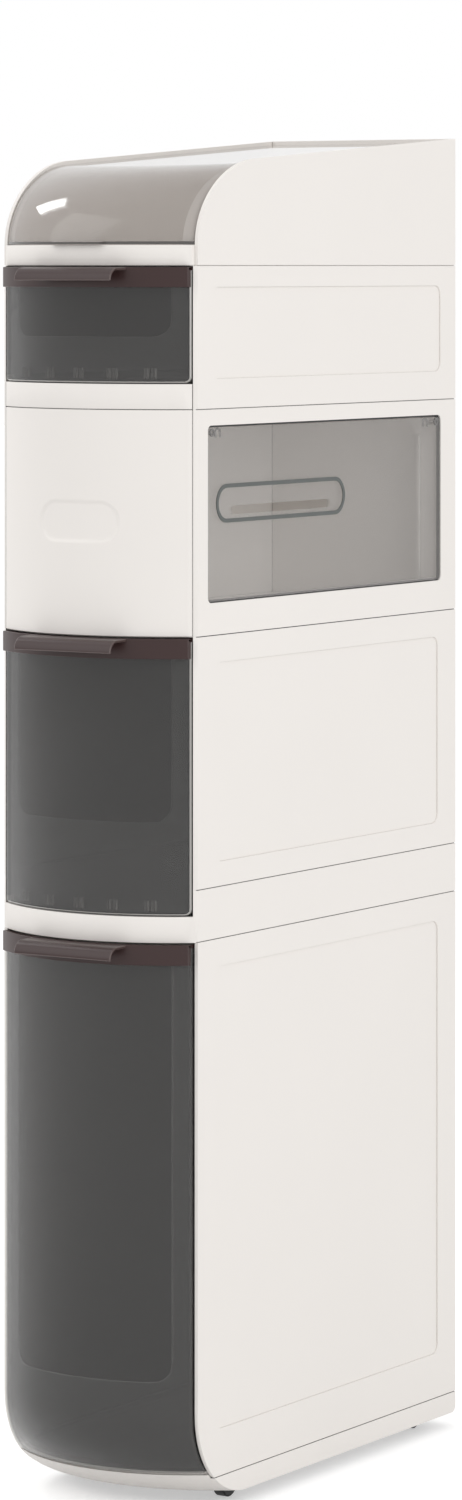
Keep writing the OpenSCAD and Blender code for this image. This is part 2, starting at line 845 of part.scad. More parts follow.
module dome_lid() {
    half_tab = tab_w / 2;
    side = [for (i = [0:5]) half_tab + tab_step + (lid_hw - half_tab - tab_step) * i / 5];
    stations = concat(flip([for (x = side) -x]), [for (i = [-2:2]) half_tab * i / 2], side);
    color(clear_smoke) bowed_at(lid_profile(0), stations, lid_profile(tab_reach), half_tab);
}

module lid_pin(right) {
    color(clear_smoke) mirror([right ? 0 : 1, 0, 0])
        translate([lid_hw, corner_y + pivot_back, pivot_z]) rotate([0, 90, 0])
            cylinder(r = pivot_r, h = lid_side_gap + 1.4);
}

base_tray();
caster_fork(-caster_x, caster_front);  // caster_fork_front_left
caster_wheel(-caster_x, caster_front);  // caster_wheel_front_left
caster_axle(-caster_x, caster_front);  // caster_axle_front_left
caster_fork(caster_x, caster_front);  // caster_fork_front_right
caster_wheel(caster_x, caster_front);  // caster_wheel_front_right
caster_axle(caster_x, caster_front);  // caster_axle_front_right
caster_fork(-caster_x, caster_rear);  // caster_fork_rear_left
caster_wheel(-caster_x, caster_rear);  // caster_wheel_rear_left
caster_axle(-caster_x, caster_rear);  // caster_axle_rear_left
caster_fork(caster_x, caster_rear);  // caster_fork_rear_right
caster_wheel(caster_x, caster_rear);  // caster_wheel_rear_right
caster_axle(caster_x, caster_rear);  // caster_axle_rear_right
lower_side(false);  // lower_side_left
lower_side(true);  // lower_side_right
lower_back();
large_drawer_tub();
large_drawer_front();
large_drawer_trim();
divider_tray();
middle_side(false);  // middle_side_left
middle_side(true);  // middle_side_right
middle_back();
medium_drawer_tub();
medium_drawer_front();
medium_drawer_trim();
tissue_shelf();
tissue_side_left();
tissue_side_right();
tissue_front();
tissue_back();
tissue_door();
slot_ring();
door_pin(false);  // door_pin_front
door_pin(true);  // door_pin_rear
upper_shelf();
upper_side(false);  // upper_side_left
upper_side(true);  // upper_side_right
upper_back();
small_drawer_tub();
small_drawer_front();
small_drawer_trim();
top_tray();
crown_cheek(false);  // crown_cheek_left
crown_cheek(true);  // crown_cheek_right
crown_back();
dome_lid();
lid_pin(false);  // lid_pin_left
lid_pin(true);  // lid_pin_right
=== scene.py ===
"""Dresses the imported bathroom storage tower: moulded white shell, smoked drawers and lid,
brown pull bars, and a plain studio round it. Every length is in metres, in the CAD frame:
X across the width, -Y the bowed front, Z up from the floor."""
import json
import math

import bmesh
import bpy
from bpy.props import FloatProperty, FloatVectorProperty, PointerProperty
from bpy.types import Operator, Panel, PropertyGroup
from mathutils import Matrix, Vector


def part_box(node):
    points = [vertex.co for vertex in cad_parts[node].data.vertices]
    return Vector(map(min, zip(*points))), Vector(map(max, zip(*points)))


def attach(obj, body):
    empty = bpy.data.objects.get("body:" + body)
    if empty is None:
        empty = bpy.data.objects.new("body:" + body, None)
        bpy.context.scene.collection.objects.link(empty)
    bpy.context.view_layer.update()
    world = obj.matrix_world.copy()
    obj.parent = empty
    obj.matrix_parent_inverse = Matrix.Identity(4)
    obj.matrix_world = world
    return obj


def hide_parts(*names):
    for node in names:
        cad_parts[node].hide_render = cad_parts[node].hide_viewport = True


bl_info = {
    "name": "Bathroom Storage Tower",
    "version": (1, 0, 0),
    "blender": (4, 5, 0),
    "location": "View3D > Sidebar > Tower",
    "description": "Builds the visible pieces, finishes and studio of a slim storage tower",
    "category": "Object",
}

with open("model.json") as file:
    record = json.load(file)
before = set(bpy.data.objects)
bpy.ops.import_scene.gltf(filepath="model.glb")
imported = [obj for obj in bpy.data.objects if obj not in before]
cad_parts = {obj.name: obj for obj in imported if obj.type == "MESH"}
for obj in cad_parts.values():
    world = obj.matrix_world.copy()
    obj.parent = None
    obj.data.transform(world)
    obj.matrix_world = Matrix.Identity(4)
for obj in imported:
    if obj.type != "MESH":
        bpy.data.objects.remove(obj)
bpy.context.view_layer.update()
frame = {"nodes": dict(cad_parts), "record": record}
NODES = frame["nodes"]
MM = 0.001
GLUE = 1e-6  # metres within which the points of a new mesh are joined
WELD = 0.00001  # metres within which a CAD node's points are joined before its edges soften
ALIKE = 0.01  # millimetres within which two places count as one


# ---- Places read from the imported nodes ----

def low(node, axis):
    """Where a node's box starts along an axis."""
    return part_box(node)[0][axis]


def high(node, axis):
    """Where a node's box ends along an axis."""
    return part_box(node)[1][axis]


HALF_W = high("tissue_side_right", 0)
REAR_Y = high("divider_tray", 1)
CREST_Y = low("divider_tray", 1)
FLOOR_Z = 0.0


# ---- Values shown in the panel ----

def colour(name, text, value):
    """A colour in the panel."""
    return FloatVectorProperty(
        name=name, description=text, subtype="COLOR", size=3, min=0, max=1, default=value)


def length(name, text, value):
    """A length in the panel."""
    return FloatProperty(name=name, description=text, unit="LENGTH", default=value, min=0)


def amount(name, text, value):
    """A share from 0 to 1 in the panel."""
    return FloatProperty(name=name, description=text, default=value, min=0, max=1)


class TowerFinish(PropertyGroup):
    white: colour("White", "Colour of the moulded shell", (0.88, 0.843, 0.806))
    smoke: colour("Smoke", "Tint of the drawer fronts and tubs", (0.072, 0.069, 0.066))
    smoke_cover: amount("Smoke cover", "How much the smoked fronts hide", 0.3)
    # Smoke edge is a painted highlight on the fronts' rounded rims and the tubs' edges
    smoke_edge_highlight: colour("Smoke edge", "Colour of the fronts' polished edges", (0.46, 0.445, 0.42))
    tub: colour("Tub tint", "Tint of the drawer tubs", (0.12, 0.115, 0.11))
    tub_cover: amount("Tub cover", "How much the drawer tubs hide", 0.2)
    lid_tint: colour("Lid tint", "Tint of the dome lid", (0.43, 0.385, 0.355))
    lid_cover: amount("Lid cover", "How much the lid hides", 0.28)
    # Lid edge is painted shade on the lid's foot, finger tab and rounded edges, where the tinted
    # sheet is seen edge-on
    lid_edge_shade: colour("Lid edge", "Colour of the lid's edges and finger tab", (0.06, 0.053, 0.048))
    door_tint: colour("Door tint", "Tint of the tissue door", (0.42, 0.4, 0.385))
    door_cover: amount("Door cover", "How much the tissue door hides", 0.12)
    hinge: colour("Hinge", "Tint of the door's hinge clips", (0.16, 0.15, 0.145))
    brown: colour("Brown", "Colour of the pull bars", (0.038, 0.0175, 0.0165))
    # Brown edge is a painted highlight on the grip lips' rounded edges
    brown_edge_highlight: colour("Brown edge", "Colour of the lips' rounded edges", (0.09, 0.062, 0.058))
    ring: colour("Ring", "Colour of the ring round the tissue slot", (0.085, 0.095, 0.09))
    black: colour("Black", "Colour of the casters", (0.018, 0.018, 0.019))
    steel: colour("Steel", "Colour of the caster axles", (0.62, 0.62, 0.63))


class TowerShape(PropertyGroup):
    edge: length("Edge radius", "Softened outer edges of the moulded panels", 0.5 * MM)


class TowerStudio(PropertyGroup):
    yaw: FloatProperty(
        name="Camera yaw", description="Angle of the camera round the tower",
        subtype="ANGLE", unit="ROTATION", default=math.radians(32.5))
    eye: FloatVectorProperty(
        name="Camera place", description="Where the camera stands", size=3,
        subtype="TRANSLATION", unit="LENGTH", default=(2.027, -3.165, 0.862))
    lens: FloatProperty(
        name="Lens", description="Focal length for a 36 mm long side", default=125.3)
    rise: FloatProperty(
        name="Frame shift", description="Shift of the frame that keeps upright edges parallel",
        default=-0.3227)
    backdrop: colour("Backdrop", "Colour behind the tower", (1.0, 1.0, 1.0))


# ---- Shader groups ----

def maths(tree, operation, *values):
    """A math node's result; each value is a number or another node's output."""
    node = tree.nodes.new("ShaderNodeMath")
    node.operation = operation
    for socket, value in zip(node.inputs, values):
        if isinstance(value, (int, float)):
            socket.default_value = value
        else:
            tree.links.new(value, socket)
    return node.outputs[0]


def remapped(tree, value, result, source=(0.0, 1.0)):
    """A value carried from the source range to the result range and held within it."""
    node = tree.nodes.new("ShaderNodeMapRange")
    node.inputs["From Min"].default_value, node.inputs["From Max"].default_value = source
    node.inputs["To Min"].default_value, node.inputs["To Max"].default_value = result
    tree.links.new(value, node.inputs["Value"])
    return node.outputs["Result"]


def scaled(tree, tone, factor):
    """A colour made lighter or darker by a factor."""
    node = tree.nodes.new("ShaderNodeVectorMath")
    node.operation = "SCALE"
    tree.links.new(tone, node.inputs[0])
    tree.links.new(factor, node.inputs["Scale"])
    return node.outputs[0]


def noise(tree, place, detail):
    """A noise texture over the object, of the given detail."""
    node = tree.nodes.new("ShaderNodeTexNoise")
    node.inputs["Detail"].default_value = detail
    tree.links.new(place.outputs["Object"], node.inputs["Vector"])
    return node


def new_group(name, ins, outs):
    """A shader group with its input and output nodes."""
    tree = bpy.data.node_groups.new(name, "ShaderNodeTree")
    for label, kind, value in ins:
        socket = tree.interface.new_socket(name=label, in_out="INPUT", socket_type=kind)
        socket.default_value = value
    for label, kind in outs:
        tree.interface.new_socket(name=label, in_out="OUTPUT", socket_type=kind)
    return tree, tree.nodes.new("NodeGroupInput"), tree.nodes.new("NodeGroupOutput")


def moulded_group():
    """Fine moulding grain: a height for the bump, and tone and roughness that drift over the
    surface."""
    name = "moulded_grain"
    if name in bpy.data.node_groups:
        return bpy.data.node_groups[name]
    tree, gin, gout = new_group(
        name,
        [("Colour", "NodeSocketColor", (1, 1, 1, 1)),
         ("Grain Scale", "NodeSocketFloat", 900.0),
         ("Roughness", "NodeSocketFloat", 0.4),
         ("Drift", "NodeSocketFloat", 0.06)],
        [("Colour", "NodeSocketColor"), ("Roughness", "NodeSocketFloat"),
         ("Height", "NodeSocketFloat")])
    link = tree.links.new
    place = tree.nodes.new("ShaderNodeTexCoord")
    grain = noise(tree, place, 3)
    grain.inputs["Roughness"].default_value = 0.6
    link(gin.outputs["Grain Scale"], grain.inputs["Scale"])
    cloud = noise(tree, place, 2)
    cloud.inputs["Scale"].default_value = 9
    centred = maths(tree, "SUBTRACT", cloud.outputs["Fac"], 0.5)
    rough = maths(tree, "MULTIPLY_ADD", centred, gin.outputs["Drift"], gin.outputs["Roughness"])
    link(rough, gout.inputs["Roughness"])
    tone = remapped(tree, cloud.outputs["Fac"], (0.985, 1.015))
    link(scaled(tree, gin.outputs["Colour"], tone), gout.inputs["Colour"])
    link(grain.outputs["Fac"], gout.inputs["Height"])
    return tree


def painted_crevice_shade_group():
    """Painted shade: darkens a colour where the surface runs into a seam, a step or a narrow gap.
    """
    name = "crevice_shade"
    if name in bpy.data.node_groups:
        return bpy.data.node_groups[name]
    tree, gin, gout = new_group(
        name,
        [("Colour", "NodeSocketColor", (1, 1, 1, 1)), ("Reach", "NodeSocketFloat", 0.002),
         ("Depth", "NodeSocketFloat", 0.5)],
        [("Colour", "NodeSocketColor")])
    hollow = tree.nodes.new("ShaderNodeAmbientOcclusion")
    hollow.samples = 6
    tree.links.new(gin.outputs["Reach"], hollow.inputs["Distance"])
    shut = remapped(tree, hollow.outputs["AO"], (1.0, 0.0), source=(0.1, 0.65))
    loss = maths(tree, "MULTIPLY", shut, gin.outputs["Depth"])
    keep = maths(tree, "SUBTRACT", 1.0, loss)
    tree.links.new(scaled(tree, gin.outputs["Colour"], keep), gout.inputs["Colour"])
    return tree


def rgba(value):
    """A colour with full cover."""
    return (*value, 1.0)


def moulded(name, value, roughness, grain=900.0, bump=0.0, drift=0.06, specular=0.5,
            painted_shade=0.0):
    """Opaque moulded plastic with grain, and painted shade in its crevices where asked."""
    if name in bpy.data.materials:
        return bpy.data.materials[name]
    material = bpy.data.materials.new(name)
    material.use_nodes = True
    tree = material.node_tree
    n, link = tree.nodes, tree.links.new
    body = n["Principled BSDF"]
    group = n.new("ShaderNodeGroup")
    group.node_tree = moulded_group()
    group.inputs["Colour"].default_value = rgba(value)
    group.inputs["Grain Scale"].default_value = grain
    group.inputs["Roughness"].default_value = roughness
    group.inputs["Drift"].default_value = drift
    link(group.outputs["Colour"], body.inputs["Base Color"])
    link(group.outputs["Roughness"], body.inputs["Roughness"])
    # Painted shade in the crevices, where asked
    if painted_shade:
        shade = n.new("ShaderNodeGroup")
        shade.node_tree = painted_crevice_shade_group()
        shade.inputs["Depth"].default_value = painted_shade
        link(group.outputs["Colour"], shade.inputs["Colour"])
        link(shade.outputs["Colour"], body.inputs["Base Color"])
    if bump:
        raised = n.new("ShaderNodeBump")
        raised.inputs["Strength"].default_value = 1.0
        raised.inputs["Distance"].default_value = bump
        link(group.outputs["Height"], raised.inputs["Height"])
        link(raised.outputs["Normal"], body.inputs["Normal"])
    body.inputs["Specular IOR Level"].default_value = specular
    return material


def clear_plastic(name, tint, cover, roughness=0.06, edge_cover=0.97):
    """Tinted see-through plastic: the cover says how much it hides, more where it turns away."""
    if name in bpy.data.materials:
        return bpy.data.materials[name]
    material = moulded(name, tint, roughness, grain=30.0, drift=0.03)
    tree = material.node_tree
    n, link = tree.nodes, tree.links.new
    body = n["Principled BSDF"]
    turn = n.new("ShaderNodeLayerWeight")
    turn.inputs["Blend"].default_value = 0.5
    steep = maths(tree, "POWER", turn.outputs["Facing"], 2.5)
    link(remapped(tree, steep, (cover, edge_cover)), body.inputs["Alpha"])
    body.inputs["IOR"].default_value = 1.52
    body.inputs["Coat Weight"].default_value = 1.0
    body.inputs["Coat Roughness"].default_value = 0.03
    return material


def finish_of(key):
    """The finish with this key, made from the panel's values when it is first asked for."""
    f = bpy.context.scene.tower_finish
    fine = {"grain": 1400.0, "bump": 0.00001}
    finishes = {
        # The shell's white has painted shade in its seams, steps and narrow gaps; the cheeks'
        # white has none
        "white": (moulded, ("white_moulded", f.white, 0.5),
                  {**fine, "specular": 0.35, "painted_shade": 0.85}),
        "open_white": (moulded, ("white_cheek", f.white, 0.5), {**fine, "specular": 0.35}),
        "smoke": (clear_plastic, ("smoked_front", f.smoke, f.smoke_cover),
                  {"edge_cover": 0.6}),
        # The smoked edge finishes are painted highlights
        "smoke_edge_highlight": (clear_plastic, ("smoked_edge_highlight", f.smoke_edge_highlight, 0.8), {}),
        "tub": (clear_plastic, ("smoked_tub", f.tub, f.tub_cover), {"roughness": 0.2}),
        "tub_edge_highlight": (clear_plastic, ("smoked_tub_edge_highlight", f.smoke_edge_highlight, 0.45), {}),
        "lid": (clear_plastic, ("smoked_lid", f.lid_tint, f.lid_cover), {"edge_cover": 0.88}),
        "lid_edge_shade": (clear_plastic, ("smoked_lid_edge_shade", f.lid_edge_shade, 0.92), {}),
        "door": (clear_plastic, ("clear_door", f.door_tint, f.door_cover), {}),
        "hinge": (clear_plastic, ("hinge_smoke", f.hinge, 0.7), {}),
        "brown": (moulded, ("brown_moulded", f.brown, 0.3), {**fine, "specular": 0.38}),
        "brown_edge_highlight": (moulded, ("brown_edge_highlight", f.brown_edge_highlight, 0.25), fine),
        "ring": (moulded, ("ring_print", f.ring, 0.35), {}),
        "black": (moulded, ("caster_black", f.black, 0.5), {"grain": 1200.0, "bump": 0.00002}),
        "steel": (moulded, ("axle_metal", f.steel, 0.3), {}),
    }
    maker, values, options = finishes[key]
    return maker(*values, **options)


# ---- Shapes, in millimetres until the mesh is made ----

class TowerForm:
    """Sizes that the made pieces share, in millimetres."""
    # The body: where the bowed front has its crest and its corners, and the rear face
    half_w = HALF_W / MM
    bow = 29.5
    crest = CREST_Y / MM
    corner = crest + bow
    rear = REAR_Y / MM
    bow_r = (half_w ** 2 + bow ** 2) / (2 * bow)
    wall = 2.6
    inner = half_w - wall
    # Drawer fronts; the large one rolls under in a quarter circle below foot_z
    sheet = 2.2
    front_half = inner - 1.0
    foot_r = 62.0
    foot_z = 72.0
    corner_r = 4.0
    rim_r = 0.9
    hook_reach = 1.8
    flank = 75.3
    return_len = 8.0
    cap = 2.4
    fuse = 0.05
    # Drawer tubs
    tub_half = 75.1
    tub_skin = 2.0
    flange = 2.0
    # Finger hollow in the tissue bay's front
    hollow_up = 79.0
    hollow_r = 13.5
    hollow_straight = 18.5
    hollow_slope = 2.6
    hollow_deep = 1.0
    # Crown and lid
    crown_z = 862.0
    rail_h = 14.5
    dome_len = 74.0
    dome_h = 55.3
    crown_slope = 0.0703
    lid_drop = 2.5
    pivot_drop = 3.2
    pivot_back = 343.0
    pivot_z = crown_z + rail_h + dome_h - lid_drop - pivot_drop + crown_slope * pivot_back


F = TowerForm


def bow_at(x):
    """How far forward of the front corners the bowed front stands at x."""
    return F.bow - F.bow_r + math.sqrt(max(F.bow_r * F.bow_r - x * x, 0.0))


def spread(start, end, count):
    """Places from start to end in equal steps."""
    return [start + (end - start) * i / count for i in range(count + 1)]


def arc(centre, radius, start, end, count):
    """Points round an arc, its angles in degrees."""
    return [(centre[0] + radius * math.cos(math.radians(start + (end - start) * i / count)),
             centre[1] + radius * math.sin(math.radians(start + (end - start) * i / count)))
            for i in range(count + 1)]


def ring_point(point, x):
    """A swept point: depth behind the front corner, height, bow share and rise with depth."""
    depth, z, follow, rise = (*point, 0.0)[:4]
    real = depth - follow * bow_at(x)
    return (x, F.corner + real, z + rise * real)


def swept(rows):
    """Points and faces of a closed sweep; each row runs down one flank and back up the other."""
    m = len(rows[0])
    verts = [v for row in rows for v in row]
    faces = []
    for i in range(len(rows) - 1):
        for j in range(m):
            a, b = i * m + j, i * m + (j + 1) % m
            faces.append((a, b, b + m, a + m))
    far = (len(rows) - 1) * m
    for j in range(m // 2 - 1):
        quad = (j, j + 1, m - 2 - j, m - 1 - j)
        faces.append(quad)
        faces.append(tuple(far + k for k in reversed(quad)))
    return verts, faces


def looped(rows):
    """A sweep whose last row joins its first."""
    m, count = len(rows[0]), len(rows)
    verts = [v for row in rows for v in row]
    faces = [(i * m + j, i * m + (j + 1) % m, (i + 1) % count * m + (j + 1) % m,
              (i + 1) % count * m + j) for i in range(count) for j in range(m)]
    return verts, faces


def bowed(points, xs, middle=None, half=-1.0):
    """A side shape carried across the width along the bow, with another shape in the middle."""
    rows = [[ring_point(p, x) for p in (middle if abs(x) < half + ALIKE else points)]
            for x in xs]
    return swept(rows)


def across(outline, x0, x1):
    """An outline in depth and height, carried straight across X."""
    m = len(outline)
    verts = [(x, F.corner + s, z) for x in (x0, x1) for s, z in outline]
    faces = [tuple(reversed(range(m))), tuple(range(m, 2 * m))]
    faces += [(j, (j + 1) % m, (j + 1) % m + m, j + m) for j in range(m)]
    return verts, faces


def through(outline, y0, y1):
    """An outline in width and height, carried straight from front to back."""
    m = len(outline)
    verts = [(x, y, z) for y in (y0, y1) for x, z in outline]
    faces = [tuple(range(m)), tuple(reversed(range(m, 2 * m)))]
    faces += [(j, j + m, (j + 1) % m + m, (j + 1) % m) for j in range(m)]
    return verts, faces


def band(outer, inner, x0, x1):
    """A flat closed band between two outlines in depth and height, from x0 to x1."""
    return looped([[(x0, F.corner + a, b), (x1, F.corner + a, b),
                    (x1, F.corner + c, d), (x0, F.corner + c, d)]
                   for (a, b), (c, d) in zip(outer, inner)])


def tube(path, radius, sides=14):
    """A round wire along a path in one side plane; each point is x, depth and height."""
    rows = []
    for i, (x, s, z) in enumerate(path):
        before, after = path[max(i - 1, 0)], path[min(i + 1, len(path) - 1)]
        ds, dz = after[1] - before[1], after[2] - before[2]
        size = math.hypot(ds, dz)
        ns, nz = -dz / size, ds / size
        rows.append([(x + radius * math.sin(a), F.corner + s + ns * radius * math.cos(a),
                      z + nz * radius * math.cos(a))
                     for a in (math.tau * k / sides for k in range(sides))])
    return swept(rows)


def merged(*parts):
    """Several shapes as the points and faces of one."""
    verts, faces = [], []
    for v, f in parts:
        start = len(verts)
        verts += v
        faces += [tuple(i + start for i in face) for face in f]
    return verts, faces


def foot_point(angle, inset):
    """A point on the rolled foot, the angle counted from where the roll starts."""
    r = F.foot_r - inset
    return (F.foot_r - r * math.cos(angle), F.foot_z - r * math.sin(angle), 1.0)


def foot_angle(z, inset=0.0):
    """The angle at which the rolled foot is down at the height z."""
    return math.asin((F.foot_z - z) / (F.foot_r - inset))


def foot_arc(inset, end, count):
    """The rolled foot from its start to the end angle."""
    return [foot_point(end * i / count, inset) for i in range(count + 1)]


# ---- Meshes ----

def plain(name, verts, faces):
    """An object from millimetre points, its doubled points joined and its faces outwards."""
    mesh = bpy.data.meshes.new(name)
    mesh.from_pydata([tuple(c * MM for c in v) for v in verts], [], faces)
    mesh.validate()
    cleaned = bmesh.new()
    cleaned.from_mesh(mesh)
    bmesh.ops.remove_doubles(cleaned, verts=cleaned.verts, dist=GLUE)
    bmesh.ops.recalc_face_normals(cleaned, faces=cleaned.faces)
    cleaned.to_mesh(mesh)
    cleaned.free()
    made = bpy.data.objects.new(name, mesh)
    bpy.context.scene.collection.objects.link(made)
    return made


def piece(name, verts, faces, key, body, slot, smooth=35, edge=0.0):
    """Makes one mesh piece from millimetre points, finished, softened and riding on a body."""
    made = plain(name, verts, faces)
    made.data.materials.append(finish_of(key))
    soften(made, edge, smooth)
    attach(made, body)
    return made


def add_finish(made, key):
    """Gives a piece one more finish and returns its place in the piece's list."""
    made.data.materials.append(finish_of(key))
    return len(made.data.materials) - 1


def rounding(made, width, angle, segments=2):
    """Rounds the edges that turn more than the angle, by a width in metres."""
    bevel = made.modifiers.new("edge", "BEVEL")
    bevel.width = width
    bevel.segments = segments
    bevel.limit_method = "ANGLE"
    bevel.angle_limit = math.radians(angle)
    bevel.harden_normals = True
    return bevel


def soften(made, edge, smooth=35, segments=2, finish=None):
    """Rounds a piece's edges, with a finish of their own if asked, and shades what turns less
    than the angle as one surface."""
    if edge:
        bevel = rounding(made, edge * MM, smooth, segments)
        if finish:
            bevel.material = add_finish(made, finish)
    made.data.shade_smooth()
    made.data.set_sharp_from_angle(angle=math.radians(smooth))


def combine(made, tool, how):
    """Cuts the tool's solid out of a piece or joins it on, and removes the tool."""
    knife = made.modifiers.new("combine", "BOOLEAN")
    knife.operation = how
    knife.solver = "EXACT"
    knife.object = tool
    view = bpy.context.evaluated_depsgraph_get()
    solid = bpy.data.meshes.new_from_object(made.evaluated_get(view))
    made.modifiers.clear()
    made.data = solid
    bpy.data.objects.remove(tool)


def dress(names, key, edge=None, angle=40):
    """Carries CAD nodes over with a finish, and with softened edges where asked."""
    for name in names:
        node = NODES[name]
        node.data.materials.clear()
        node.data.materials.append(finish_of(key))
        if edge:
            weld = node.modifiers.new("join", "WELD")
            weld.merge_threshold = WELD
            rounding(node, edge, angle)


# ---- Pieces ----

class TOWER_OT_shell(Operator):
    """White walls, trays, shelves and base"""
    bl_idname = "tower.shell"
    bl_label = "White shell"

    def execute(self, context):
        names = [s["node"] for s in frame["record"]["subparts"]
                 if s["material_slot"] == "white_plastic"]
        edge = context.scene.tower_shape.edge
        # The lid lies close over the cheeks, which would count as one wide crevice and take
        # painted shade all over
        cheeks = [name for name in names if "cheek" in name]
        dress(cheeks, "open_white", edge)
        dress([name for name in names if name not in cheeks], "white", edge)
        return {"FINISHED"}


def rolled_profile(z, top, near, far, count=24):
    """Side shape of a layer of the rolled front, its foot cut square to the sheet."""
    end = foot_angle(z)
    outer = [(near, top, 1.0)] + foot_arc(near, end, count)
    inner = [(far, top, 1.0)] + foot_arc(far, end, count)
    return outer + inner[::-1]


def flat_profile(z, top, near, far):
    """Side shape of an upright layer that follows the bow."""
    return [(near, top, 1.0), (near, z, 1.0), (far, z, 1.0), (far, top, 1.0)]


def rounded_sheet(z, top):
    """A flat drawer's front sheet, with rounded lower corners and a rounded rim."""
    r, rim = F.corner_r, F.rim_r
    corner_x = F.front_half - r
    turns = [math.radians(a) for a in range(0, 91, 15)]
    # Each column: where its corner's centre is, and how far out and down it goes from there
    columns = [(-corner_x, -math.sin(a), math.cos(a)) for a in reversed(turns)]
    columns += [(x, 0.0, 1.0) for x in spread(-corner_x, corner_x, 40)[1:-1]]
    columns += [(corner_x, math.sin(a), math.cos(a)) for a in turns]
    # Each layer: how far it stays inside the outline, and its depth
    layers = [(rim * (1 - math.sin(math.radians(a))), rim * (1 - math.cos(math.radians(a))))
              for a in (0, 30, 60, 90)] + [(0.0, F.sheet)]
    rows = []
    for x, out, down in columns:
        row = [ring_point((depth, top, 1), x + (r - inset) * out) for inset, depth in layers]
        row += [ring_point((depth, z + r - (r - inset) * down, 1), x + (r - inset) * out)
                for inset, depth in reversed(layers)]
        rows.append(row)
    return swept(rows)


def foot_hooks(z):
    """Pairs of small hooks behind the foot of a drawer front."""
    width, pitch, bite = 2.4, 26.0, 0.5
    up, height = 3, 7
    shape = flat_profile(z + up, z + up + height, F.sheet - bite, F.sheet + F.hook_reach)
    middles = [i * pitch + side * width for i in range(-2, 3) for side in (-1, 1)]
    return merged(*[bowed(shape, [x - width / 2, x + width / 2]) for x in middles])


def drawer_front(size):
    """The smoked bowed front of one drawer, with its flanks and small hooks."""
    node = size + "_drawer_front"
    z, top = low(node, 2) / MM, high(node, 2) / MM
    near, far = F.sheet - F.fuse, F.sheet + F.return_len
    if size == "large":
        sheet = bowed(rolled_profile(z, top, 0.0, F.sheet),
                      spread(-F.front_half, F.front_half, 42))
        flank = rolled_profile(z, top, near, far)
        hooks = []
    else:
        sheet = rounded_sheet(z, top)
        flank = flat_profile(z + F.corner_r, top, near, far)
        hooks = [foot_hooks(z)]
    side = [F.flank, F.front_half - F.fuse]
    flanks = [bowed(flank, side), bowed(flank, [-x for x in reversed(side)])]
    made = piece(size + "_front", *merged(sheet, *flanks, *hooks), "smoke", size + "_drawer",
                 "smoked_plastic")
    paint_rim_highlight(made)
    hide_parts(node)


def paint_rim_highlight(made):
    """Painted highlight: a lighter edge finish on a front's rounded rim, its hooks and its flanks'
    rear faces.
    """
    skin, slack, rear_band = 0.03, 0.1, 0.5
    light, faint = add_finish(made, "smoke_edge_highlight"), add_finish(made, "tub_edge_highlight")
    for face in made.data.polygons:
        x, y, z = face.center / MM
        depth = y - F.corner + bow_at(x)
        rim = skin < depth < F.rim_r - slack
        hook = F.sheet + slack < depth < F.sheet + F.hook_reach + slack
        rear = depth > F.sheet + F.return_len - rear_band
        if z > F.foot_z and (rim or hook or rear):
            face.material_index = faint if hook else light


def tub_profile(z, top, inset, rear, rolled):
    """Side shape of a tub, its front wall rolled under or straight."""
    if rolled:
        front = [(inset, top, 1.0)] + foot_arc(inset, foot_angle(z, inset), 22)
    else:
        front = [(inset, top, 1.0), (inset, z, 1.0)]
    count = len(front)
    back = [(rear, z + (top - z) * i / (count - 1), 0.0) for i in range(count)]
    return front + back


def drawer_tub(size):
    """An open tub behind the front, its front wall cut down in the middle, with a beaded rim."""
    node = size + "_drawer_tub"
    lo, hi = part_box(node)
    z, top, half, rim_half = lo[2] / MM, hi[2] / MM, F.tub_half, hi[0] / MM
    rear = hi[1] / MM - F.corner
    inset = lo[1] / MM - F.crest
    rolled = size == "large"
    over, bite, steps = 5, 0.5, 24  # the knives' overshoot, the rims' overlap, columns across
    outer = bowed(tub_profile(z, top, inset, rear, rolled), spread(-half, half, steps))
    made = piece(size + "_tub", *outer, "tub", size + "_drawer", "smoked_plastic", smooth=40)

    rim_start = 22.0
    rim = [(rim_start, top - F.flange), (rear, top - F.flange), (rear, top), (rim_start, top)]
    for x in (-rim_half, half - bite):
        combine(made, plain("rim", *across(rim, x, x + rim_half - half + bite)), "UNION")

    inside = half - F.tub_skin
    hollow = bowed(tub_profile(z + F.tub_skin, top + over, inset + F.tub_skin,
                               rear - F.tub_skin, rolled), spread(-inside, inside, steps))
    combine(made, plain("hollow", *hollow), "DIFFERENCE")

    sill = z + (32.0 if size == "small" else 64.0)
    mouth_half, r = half - 11.0, 12.0
    outline = arc((-mouth_half + r, sill + r), r, 180, 270, 10)
    outline += arc((mouth_half - r, sill + r), r, 270, 360, 10)
    outline += [(mouth_half, top + over), (-mouth_half, top + over)]
    mouth = through(outline, F.crest - over, F.corner + 12)
    combine(made, plain("mouth", *mouth), "DIFFERENCE")
    # The tub's rounded edges take a painted highlight
    soften(made, 0.5, 45, finish="tub_edge_highlight")
    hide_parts(node)


def pull_bar(size):
    """The brown bar along a drawer front's top, with its cap."""
    node = size + "_drawer_trim"
    z, top, half = low(node, 2) / MM, high(node, 2) / MM, high(node, 0) / MM
    proud, gap, setback = 4.2, 0.15, 1.0  # the bar's face and back, and the cap behind its face
    bar_top, cap_top = top - 0.05, top - 0.02
    xs = spread(-half, half, 48)
    bar = bowed([(-proud, top, 1), (-proud, z, 1), (-gap, z, 1), (-gap, bar_top, 1)], xs)
    cap = bowed([(setback - proud, cap_top, 1), (setback - proud, top - F.cap, 1),
                 (F.return_len, top - F.cap, 1), (F.return_len, cap_top, 1)], xs)
    made = piece(size + "_pull_bar", *merged(bar, cap), "brown", size + "_drawer",
                 "brown_plastic", edge=0.45)
    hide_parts(node)


